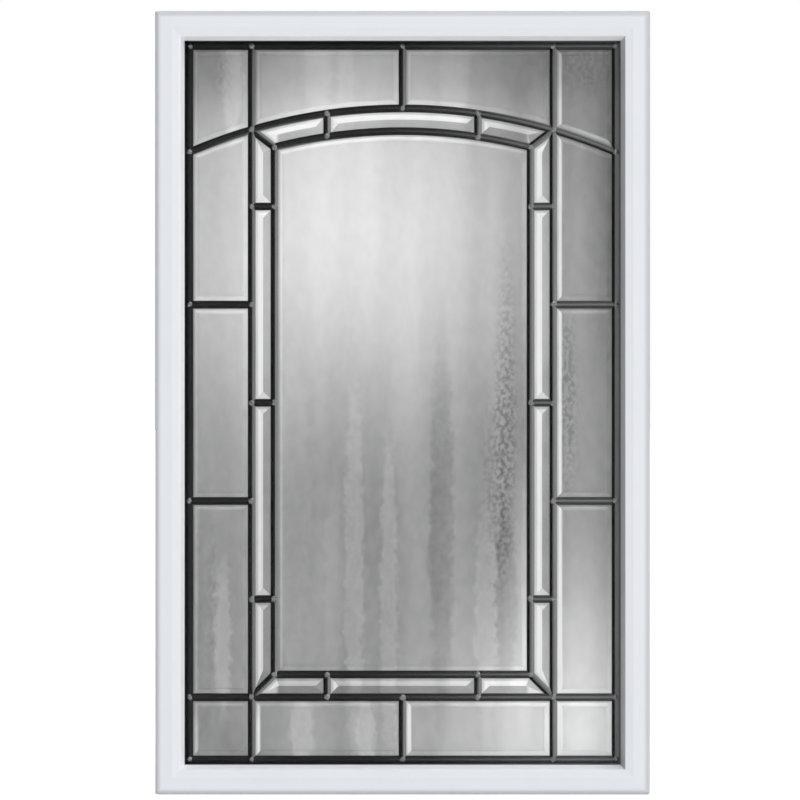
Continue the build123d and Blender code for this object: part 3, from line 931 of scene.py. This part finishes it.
for x, z in joints:
    for face in (-1, 1):
        made = bmesh.ops.create_icosphere(beads, subdivisions=2, radius=1.0)["verts"]
        for vert in made:
            lump = noise.noise(Vector((x * lump_x, face * lump_face, z * lump_x)) + vert.co * lump_grain)
            reach = solder_reach * (solder_share + solder_swell * lump)
            rise = max(0.0, vert.co.y * face) * (solder_high - came_top + solder_sink)
            sunk = came_top - solder_sink + rise
            vert.co = Vector((x + vert.co.x * reach, face * sunk, z + vert.co.z * reach))
        roots = [vert for vert in made if abs(abs(vert.co.y) - came_top + solder_sink) < same_depth]
        bmesh.ops.translate(beads, verts=roots, vec=(0, -face * solder_root, 0))
solder_piece = finish_piece("solder_beads", beads, dark_solder, "solder", "solder_joints")
solder_piece.data.shade_smooth()


# The studio: a very large pale floor, soft light from the upper right, and a long lens in front.
# The floor and the backdrop are near white to the camera, and much dimmer as sources of light.

floor_reach = 60.0
floor_dim, floor_seen = 0.1, 0.9
sky_turn, sky_power = (-0.6, 0.8), (0.14, 0.42)


def pale_floor():
    """Matt and even; what it gives off depends on whether the camera looks at it."""
    material = mottled(
        "pale floor",
        light=(0.95, 0.95, 0.95),
        dark=(0.93, 0.93, 0.93),
        cloud=0.6,
        grain=60.0,
        depth=0.0,
        smooth=0.7,
        rough=0.9,
        specular=0.1,
    )
    add, join, _, ranged = toolkit(material.node_tree)
    shader = material.node_tree.nodes["Principled BSDF"]
    shader.inputs["Emission Strength"].default_value = 1.0
    seen = add("ShaderNodeLightPath").outputs["Is Camera Ray"]
    join(ranged(seen, 0.0, 1.0, floor_dim, floor_seen), shader.inputs["Emission Color"])
    return material


def studio_sky():
    """Soft light all round, stronger from the right, with a white backdrop for the camera."""
    world = bpy.data.worlds.new("studio")
    world.use_nodes = True
    world.node_tree.nodes.clear()
    add, join, _, ranged = toolkit(world.node_tree)
    direction = add("ShaderNodeTexCoord")
    split = add("ShaderNodeSeparateXYZ")
    path = add("ShaderNodeLightPath")
    strength = add("ShaderNodeMix", data_type="FLOAT")
    strength.inputs["B"].default_value = 1.0
    backdrop = add("ShaderNodeBackground", {"Color": (1, 1, 1, 1)})
    output = add("ShaderNodeOutputWorld")
    join(direction.outputs["Generated"], split.inputs["Vector"])
    join(path.outputs["Is Camera Ray"], strength.inputs["Factor"])
    join(ranged(split.outputs["X"], *sky_turn, *sky_power), strength.inputs["A"])
    join(strength.outputs["Result"], backdrop.inputs["Strength"])
    join(backdrop.outputs["Background"], output.inputs["Surface"])
    return world


floor_mesh = bpy.data.meshes.new("floor")
plane = bmesh.new()
bmesh.ops.create_grid(plane, x_segments=8, y_segments=8, size=floor_reach)
bmesh.ops.translate(plane, verts=plane.verts, vec=(0, 0, cad_low.z))
plane.to_mesh(floor_mesh)
plane.free()
floor = bpy.data.objects.new("floor", floor_mesh)
bpy.context.scene.collection.objects.link(floor)
floor_mesh.materials.append(pale_floor())
floor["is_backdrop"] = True
bpy.context.scene.world = studio_sky()


def sun(name, towards_light, power, spread):
    """Even light from one side, softened as by a large diffuser."""
    lamp = bpy.data.lights.new(name, "SUN")
    lamp.energy = power
    lamp.angle = math.radians(spread)
    holder = bpy.data.objects.new(name, lamp)
    holder.rotation_euler = Vector(towards_light).to_track_quat("Z", "Y").to_euler()
    bpy.context.scene.collection.objects.link(holder)


sun("key", (0.8, -0.5, 0.4), 0.7, 30)
sun("overhead", (0.1, -0.4, 1.0), 1.35, 14)
sun("front", (0.1, -1.0, 0.35), 0.45, 60)
sun("back", (0.0, 0.6, 0.8), 0.9, 60)

lens, sensor = 180.0, 36.0
view_width = 0.984
eye_x, eye_z = -0.0032, 0.0034
camera = bpy.data.cameras.new("camera")
camera.lens = lens
camera.sensor_width = sensor
camera.clip_end = 200.0
distance = view_width * lens / sensor
eye = bpy.data.objects.new("camera", camera)
eye.location = (eye_x, cad_low.y - distance, eye_z)
eye.rotation_euler = (math.radians(90), 0, 0)
bpy.context.scene.collection.objects.link(eye)
bpy.context.scene.camera = eye
bpy.context.scene.view_settings.view_transform = "Standard"

low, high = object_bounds()
